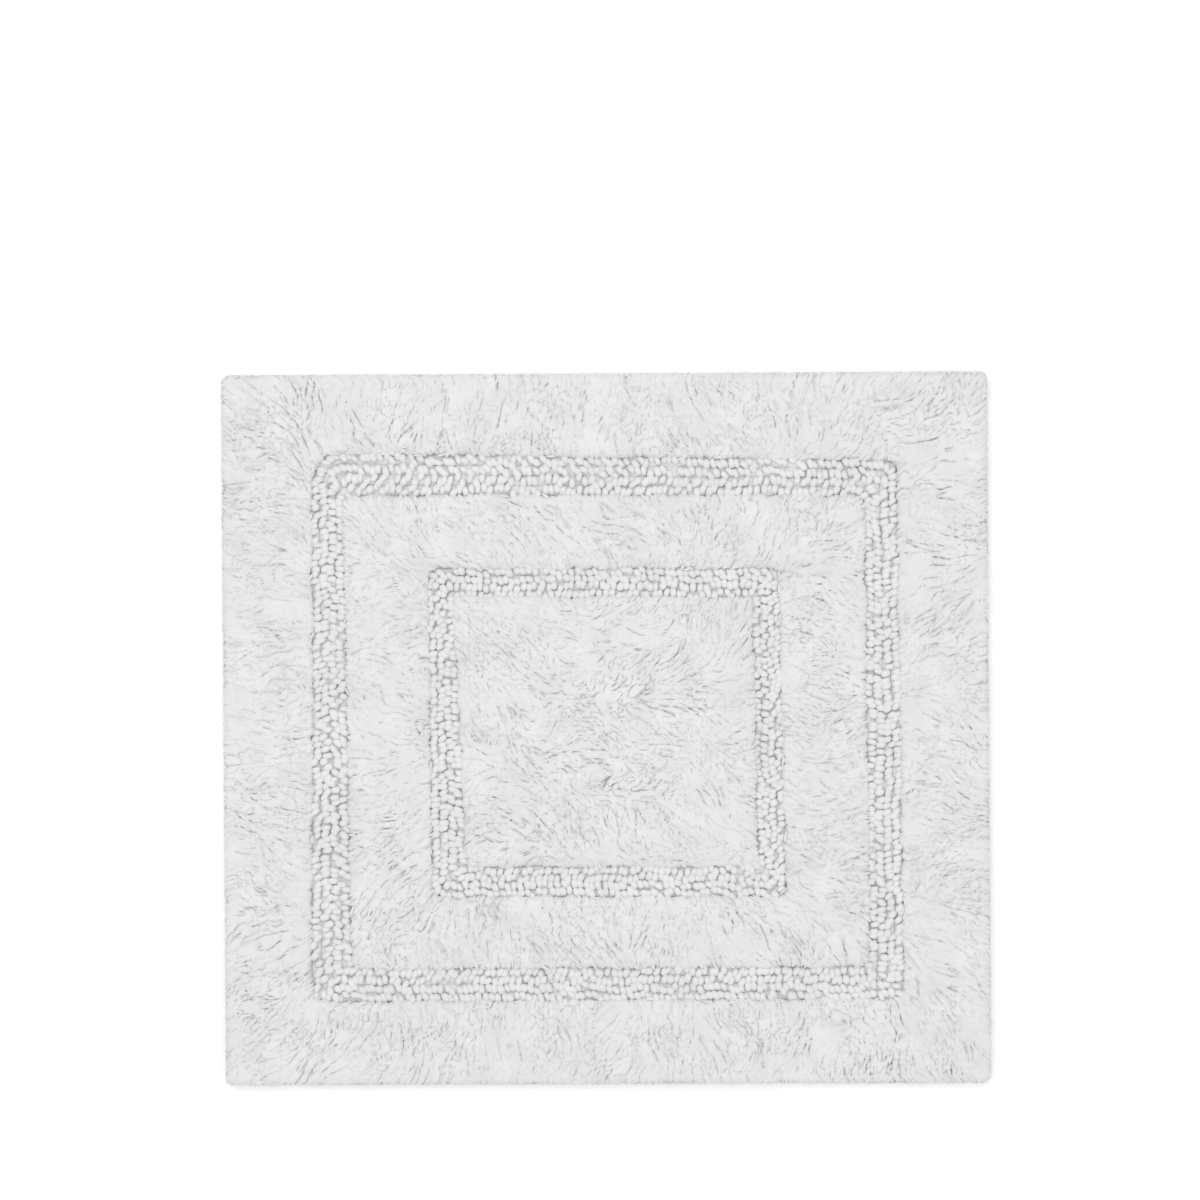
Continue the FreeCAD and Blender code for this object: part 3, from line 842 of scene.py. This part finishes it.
def latex_underside(flat):
    """How high the coat's underside is: rows of tufts show through as ribs, and the label has a bed."""
    inset = depth(latex_edge, flat)
    rib = 0.5 + 0.5 * np.cos(TURN * inset / RIB_PITCH)
    under = 0.06 * MM + RIB_HEIGHT * rib * (0.7 + 0.3 * noise(flat, 9 * MM, 610))
    bed_x = np.abs(flat[:, 0] - (label_low.x + label_high.x) / 2) - (label_high.x - label_low.x) / 2
    bed_y = flat[:, 1] - label_high.y
    bed = np.clip(1 - np.maximum(bed_x, bed_y) / BED_SLOPE, 0, 1)
    under = np.maximum(under, BED_DEPTH * bed)
    return under * np.clip((inset + 0.2 * MM) / (1.5 * MM), 0.4, 1)


def make_latex_coat():
    """A closed plate that fills the recess inside the hem."""
    directions = round_directions(latex_edge, COAT_STEP)
    edge = reach(latex_edge, directions)
    shares = np.linspace(1, 0, round(edge.min() / COAT_ROW))[:-1]
    plan = (shares[:, None] * edge[None])[..., None] * directions[None]
    under = latex_underside(plan.reshape(-1, 2)).reshape(plan.shape[:2])
    underside = np.concatenate([plan, under[..., None]], axis=-1)

    roof = CLOTH_TOP - CLOTH_THICKNESS
    rim = np.concatenate([plan[:1], np.full((1, len(directions), 1), roof)], axis=-1)
    middle = np.array([[0, 0, roof], [0, 0, 0.2 * MM]])
    points = np.concatenate([np.concatenate([rim, underside]).reshape(-1, 3), middle])
    faces = capped_faces(len(shares) + 1, len(directions))
    make_piece("latex_coat", points, faces, latex, "latex", "latex_coat")


make_latex_coat()


# Seam.

STITCH = 4.2 * MM
STITCH_POINTS = 10
STITCH_SINK = 0.5 * MM  # how far its ends dip into the cloth
THREAD_HALF_WIDTH = 0.38 * MM
THREAD_CORNERS = 8


def make_seam_thread(name, side):
    """Lockstitches on the cloth (1) or under the hem (-1), each dipping into it at both ends."""
    low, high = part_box(name)
    line = outline(name)
    directions = round_directions(line, 1.0 * MM)
    line = directions * reach(line, directions, -THREAD_MIDDLE)[:, None]
    stitches = round(line_length(line) / STITCH)
    spots, _, out = even(line, STITCH, stitches * STITCH_POINTS)
    share = np.arange(len(spots)) % STITCH_POINTS / STITCH_POINTS
    sink = near_line(np.minimum(share, 1 - share), 0.14)
    level = (low.z + high.z) / 2 - side * sink * STITCH_SINK
    slant = 0.15 * MM * np.sin(TURN * share)
    centres = np.column_stack([spots + out * slant[:, None], level])
    half_width = THREAD_HALF_WIDTH * (1 - 0.45 * sink)
    half_height = np.full(len(spots), (high.z - low.z) / 2)

    def plied(angle):
        return 1 + 0.08 * np.cos(3 * angle[None] + np.arange(len(spots))[:, None] * 0.9)

    points, faces = tube(centres, flat_3d(out), half_width, half_height, THREAD_CORNERS, plied)
    make_piece(name, points, faces, thread_cotton, "thread", name)


make_seam_thread("hem_needle_thread", -1)
make_seam_thread("hem_bobbin_thread", 1)


# Label.

LABEL_TAIL = 12 * MM  # how much of its length is caught in the hem
LABEL_HALF_THICKNESS = 0.045 * MM
SQUEEZED, LOOSE = 0.1 * MM, 0.21 * MM  # between its two layers, in the hem and out of it


def label_path():
    """The ribbon's middle line: out of the hem, round the fold and back above itself."""
    raw_edge = label_low.y + LABEL_TAIL
    tail_level, flap_level = label_high.z - SQUEEZED, label_low.z + LOOSE
    ease = np.linspace(0, 1, 9)
    ease = ease * ease * (3 - 2 * ease)
    there = [(y, tail_level, SQUEEZED / 2) for y in np.linspace(label_low.y, raw_edge - 0.5 * MM, 7)]
    for share in ease[1:-1]:
        level = tail_level + (flap_level - tail_level) * share
        gap = SQUEEZED / 2 + (LOOSE / 2 - SQUEEZED / 2) * share
        there.append((raw_edge + 2 * MM * share, level, gap))
    flap = np.linspace(raw_edge + 2.5 * MM, label_high.y - 0.4 * MM, 12)
    there += [(y, flap_level, LOOSE / 2) for y in flap]
    lower = [(y, level - gap) for y, level, gap in there]
    upper = [(y, level + gap) for y, level, gap in there]
    return np.array(lower + [(label_high.y, flap_level)] + upper[::-1])


def make_care_label():
    """A blank ribbon folded double, with both its ends caught between the hem and the cloth."""
    path = label_path()
    along = np.gradient(path, axis=0)
    along /= np.linalg.norm(along, axis=1, keepdims=True)
    normal = np.stack([-along[:, 1], along[:, 0]], axis=1) * LABEL_HALF_THICKNESS
    section = np.concatenate([path + normal, (path - normal)[::-1]])

    across = np.linspace(label_low.x, label_high.x, 17)
    sag = 0.05 * MM * np.sin(TURN * 1.5 * np.linspace(0, 1, len(across)))[None]
    is_loose = section[:, :1] > label_low.y + LABEL_TAIL + 2 * MM
    x = np.broadcast_to(across[None], (len(section), len(across)))
    y = np.broadcast_to(section[:, :1], x.shape)
    z = section[:, 1:] + sag * is_loose
    points = np.stack([x, y, z], axis=-1).reshape(-1, 3)

    rows, columns = x.shape
    row = np.arange(rows // 2 - 1)
    side = np.stack([row, row + 1, rows - 2 - row, rows - 1 - row], axis=1) * columns
    faces = [grid_faces(rows, columns, closed_rows=True), side[:, ::-1], side + columns - 1]
    label = make_piece("care_label", points, [np.concatenate(faces)], ribbon, "ribbon", "care_label")


make_care_label()


# Stage.

VIEW_WIDTH = 0.930  # the camera sees a square this wide at the mat's top
VIEW_CENTRE = (-0.0048, 0.0998)
CAMERA_HEIGHT = 3.2


def make_floor(half):
    """A plain pale square."""
    mesh = bpy.data.meshes.new("floor")
    corners = [(-half, -half, 0), (half, -half, 0), (half, half, 0), (-half, half, 0)]
    mesh.from_pydata(corners, [], [(0, 1, 2, 3)])
    floor = bpy.data.objects.new("floor", mesh)
    bpy.context.scene.collection.objects.link(floor)
    material, _, shader = new_material("floor", roughness=0.9, sheen=0.0)
    shader.inputs["Base Color"].default_value = (0.97, 0.97, 0.97, 1)
    mesh.materials.append(material)


def make_light(name, place_at, size, energy):
    """A soft square lamp that faces the mat."""
    light = bpy.data.lights.new(name, "AREA")
    light.shape = "SQUARE"
    light.size = size
    light.energy = energy
    lamp = bpy.data.objects.new(name, light)
    lamp.location = place_at
    lamp.rotation_euler = (-Vector(place_at)).to_track_quat("-Z", "Y").to_euler()
    bpy.context.scene.collection.objects.link(lamp)


def make_world(strength):
    """Even white light from all round."""
    world = bpy.data.worlds.new("studio")
    bpy.context.scene.world = world
    world.use_nodes = True
    background = world.node_tree.nodes["Background"]
    background.inputs["Color"].default_value = (1, 1, 1, 1)
    background.inputs["Strength"].default_value = strength


def make_camera():
    """Straight above, with the mat a little right of the middle and low in the frame."""
    camera = bpy.data.cameras.new("camera")
    camera.sensor_width = 36
    camera.lens = camera.sensor_width * (CAMERA_HEIGHT - cad_high.z) / VIEW_WIDTH
    eye = bpy.data.objects.new("camera", camera)
    eye.location = (*VIEW_CENTRE, CAMERA_HEIGHT)
    bpy.context.scene.collection.objects.link(eye)
    bpy.context.scene.camera = eye


make_floor(half=4.0)
make_light("key", (-0.7, 0.9, 2.6), size=2.2, energy=28)
make_light("fill", (1.2, -0.9, 2.4), size=2.0, energy=11)
make_world(strength=0.83)
make_camera()
bpy.context.scene.view_settings.view_transform = "Standard"
